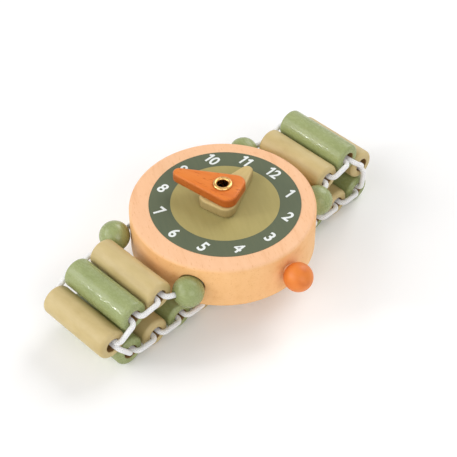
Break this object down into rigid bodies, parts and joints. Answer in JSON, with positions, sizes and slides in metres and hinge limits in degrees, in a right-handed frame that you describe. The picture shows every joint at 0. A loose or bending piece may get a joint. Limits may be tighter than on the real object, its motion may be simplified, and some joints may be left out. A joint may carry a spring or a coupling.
{
  "type": "toy watch",
  "caption": "Wooden toy wristwatch: round case with a printed dial, two hands that turn on a hollow eyelet, a ball crown and a stretchy strap of painted tubes laced on elastic.",
  "frame": {"origin": "on the hands' axis, at the face of the case", "axes": "+Z out of the dial, +Y to twelve o'clock along the strap, +X to the crown at three o'clock"},
  "size_m": [0.0556, 0.0981, 0.0284],
  "materials": {
    "beech": "satin",
    "green_print": "matt",
    "olive_print": "matt",
    "olive_stain": "satin",
    "orange_stain": "satin",
    "orange_paint": "gloss",
    "tan_paint": "satin",
    "green_paint": "gloss",
    "white_elastic": "woven",
    "brass": "polished"
  },
  "bodies": {
    "tube_09": {"tube_09": "tan_paint"},
    "tube_08": {"tube_08": "green_paint", "elastic_08_09": "white_elastic"},
    "tube_07": {"tube_07": "tan_paint", "elastic_07_08": "white_elastic"},
    "tube_06": {"tube_06": "green_paint", "elastic_06_07": "white_elastic"},
    "tube_05": {"tube_05": "tan_paint", "elastic_05_06": "white_elastic"},
    "tube_04": {"tube_04": "green_paint", "elastic_04_05": "white_elastic"},
    "tube_03": {"tube_03": "tan_paint", "elastic_03_04": "white_elastic"},
    "tube_02": {"tube_02": "green_paint", "elastic_02_03": "white_elastic"},
    "tube_01": {"tube_01": "tan_paint", "elastic_01_02": "white_elastic"},
    "beads_6": {"bead_6_left": "green_paint", "bead_6_right": "green_paint", "elastic_6_beads": "white_elastic"},
    "case": {"case": "beech", "dial_ring": "green_print", "dial_middle": "olive_print", "eyelet": "brass", "eyelet_washer": "brass", "crown_ball": "orange_paint", "crown_peg": "beech", "elastic_case": "white_elastic", "elastic_knot": "white_elastic"},
    "beads_12": {"bead_12_left": "green_paint", "bead_12_right": "green_paint", "elastic_12_beads": "white_elastic"},
    "tube_10": {"tube_10": "green_paint", "elastic_09_10": "white_elastic"},
    "tube_11": {"tube_11": "tan_paint", "elastic_10_11": "white_elastic"},
    "tube_12": {"tube_12": "green_paint", "elastic_11_12": "white_elastic"},
    "tube_13": {"tube_13": "tan_paint", "elastic_12_13": "white_elastic"},
    "tube_14": {"tube_14": "green_paint", "elastic_13_14": "white_elastic"},
    "tube_15": {"tube_15": "tan_paint", "elastic_14_15": "white_elastic"},
    "tube_16": {"tube_16": "green_paint", "elastic_15_16": "white_elastic"},
    "tube_17": {"tube_17": "tan_paint", "elastic_16_17": "white_elastic"},
    "hour_hand": {"hour_hand": "olive_stain"},
    "minute_hand": {"minute_hand": "orange_stain"}
  },
  "joints": [
    {"name": "bend_09_08", "type": "hinge", "parent": "tube_09", "child": "tube_08", "pos_m": [-0.002, 0.0015, -0.0173], "axis": [1, 0, 0], "range_deg": [-2.51, 0]},
    {"name": "bend_08_07", "type": "hinge", "parent": "tube_08", "child": "tube_07", "pos_m": [-0.002, -0.0069, -0.0173], "axis": [1, 0, 0], "range_deg": [-11.71, 0]},
    {"name": "bend_07_06", "type": "hinge", "parent": "tube_07", "child": "tube_06", "pos_m": [-0.002, -0.0153, -0.0173], "axis": [1, 0, 0], "range_deg": [-12.52, 0]},
    {"name": "bend_06_05", "type": "hinge", "parent": "tube_06", "child": "tube_05", "pos_m": [-0.002, -0.0237, -0.0173], "axis": [1, 0, 0], "range_deg": [-14.54, 0]},
    {"name": "bend_05_04", "type": "hinge", "parent": "tube_05", "child": "tube_04", "pos_m": [-0.002, -0.0321, -0.0173], "axis": [1, 0, 0], "range_deg": [-18.49, 0]},
    {"name": "bend_04_03", "type": "hinge", "parent": "tube_04", "child": "tube_03", "pos_m": [-0.002, -0.0405, -0.0173], "axis": [1, 0, 0], "range_deg": [0, 26.16]},
    {"name": "bend_03_02", "type": "hinge", "parent": "tube_03", "child": "tube_02", "pos_m": [-0.002, -0.04571, -0.01071], "axis": [1, 0, 0], "range_deg": [0, 62.61]},
    {"name": "bend_02_01", "type": "hinge", "parent": "tube_02", "child": "tube_01", "pos_m": [-0.002, -0.03857, -0.00629], "axis": [1, 0, 0], "range_deg": [0, 2.34]},
    {"name": "bend_01_beads_6", "type": "hinge", "parent": "tube_01", "child": "beads_6", "pos_m": [-0.002, -0.03021, -0.00541], "axis": [1, 0, 0], "range_deg": [0, 21.36]},
    {"name": "strap_open", "type": "hinge", "parent": "beads_6", "child": "case", "pos_m": [-0.002, -0.02337, -0.0065], "axis": [-1, 0, 0], "range_deg": [0, 52.7]},
    {"name": "bend_case_beads_12", "type": "hinge", "parent": "case", "child": "beads_12", "pos_m": [-0.002, 0.02337, -0.0065], "axis": [1, 0, 0], "range_deg": [-44.98, 0]},
    {"name": "bend_09_10", "type": "hinge", "parent": "tube_09", "child": "tube_10", "pos_m": [-0.002, 0.0015, -0.0173], "axis": [1, 0, 0], "range_deg": [0, 4.11]},
    {"name": "bend_10_11", "type": "hinge", "parent": "tube_10", "child": "tube_11", "pos_m": [-0.002, 0.0099, -0.0173], "axis": [1, 0, 0], "range_deg": [0, 8.92]},
    {"name": "bend_11_12", "type": "hinge", "parent": "tube_11", "child": "tube_12", "pos_m": [-0.002, 0.0183, -0.0173], "axis": [1, 0, 0], "range_deg": [0, 9.89]},
    {"name": "bend_12_13", "type": "hinge", "parent": "tube_12", "child": "tube_13", "pos_m": [-0.002, 0.0267, -0.0173], "axis": [1, 0, 0], "range_deg": [0, 12.71]},
    {"name": "bend_13_14", "type": "hinge", "parent": "tube_13", "child": "tube_14", "pos_m": [-0.002, 0.0351, -0.0173], "axis": [1, 0, 0], "range_deg": [0, 17.29]},
    {"name": "bend_14_15", "type": "hinge", "parent": "tube_14", "child": "tube_15", "pos_m": [-0.002, 0.0435, -0.0173], "axis": [1, 0, 0], "range_deg": [-62.96, 0]},
    {"name": "bend_15_16", "type": "hinge", "parent": "tube_15", "child": "tube_16", "pos_m": [-0.002, 0.04436, -0.00894], "axis": [1, 0, 0], "range_deg": [-32.23, 0]},
    {"name": "bend_16_17", "type": "hinge", "parent": "tube_16", "child": "tube_17", "pos_m": [-0.002, 0.03831, -0.00312], "axis": [1, 0, 0], "range_deg": [-26.2, 0]},
    {"name": "hour_hand_turn", "type": "hinge", "parent": "case", "child": "hour_hand", "pos_m": [0, 0, 0], "axis": [0, 0, -1], "continuous": true},
    {"name": "minute_hand_turn", "type": "hinge", "parent": "case", "child": "minute_hand", "pos_m": [0, 0, 0], "axis": [0, 0, -1], "continuous": true}
  ],
  "couplings": [
    {"joint": "bend_09_08", "follows": "strap_open", "ratio": -0.04768},
    {"joint": "bend_08_07", "follows": "strap_open", "ratio": -0.22213},
    {"joint": "bend_07_06", "follows": "strap_open", "ratio": -0.23764},
    {"joint": "bend_06_05", "follows": "strap_open", "ratio": -0.27588},
    {"joint": "bend_05_04", "follows": "strap_open", "ratio": -0.35077},
    {"joint": "bend_04_03", "follows": "strap_open", "ratio": 0.49642},
    {"joint": "bend_03_02", "follows": "strap_open", "ratio": 1.188},
    {"joint": "bend_02_01", "follows": "strap_open", "ratio": 0.04434},
    {"joint": "bend_01_beads_6", "follows": "strap_open", "ratio": 0.40533},
    {"joint": "bend_case_beads_12", "follows": "strap_open", "ratio": -0.8535},
    {"joint": "bend_09_10", "follows": "strap_open", "ratio": 0.07801},
    {"joint": "bend_10_11", "follows": "strap_open", "ratio": 0.16927},
    {"joint": "bend_11_12", "follows": "strap_open", "ratio": 0.18763},
    {"joint": "bend_12_13", "follows": "strap_open", "ratio": 0.24125},
    {"joint": "bend_13_14", "follows": "strap_open", "ratio": 0.32804},
    {"joint": "bend_14_15", "follows": "strap_open", "ratio": -1.1947},
    {"joint": "bend_15_16", "follows": "strap_open", "ratio": -0.61151},
    {"joint": "bend_16_17", "follows": "strap_open", "ratio": -0.49719}
  ]
}
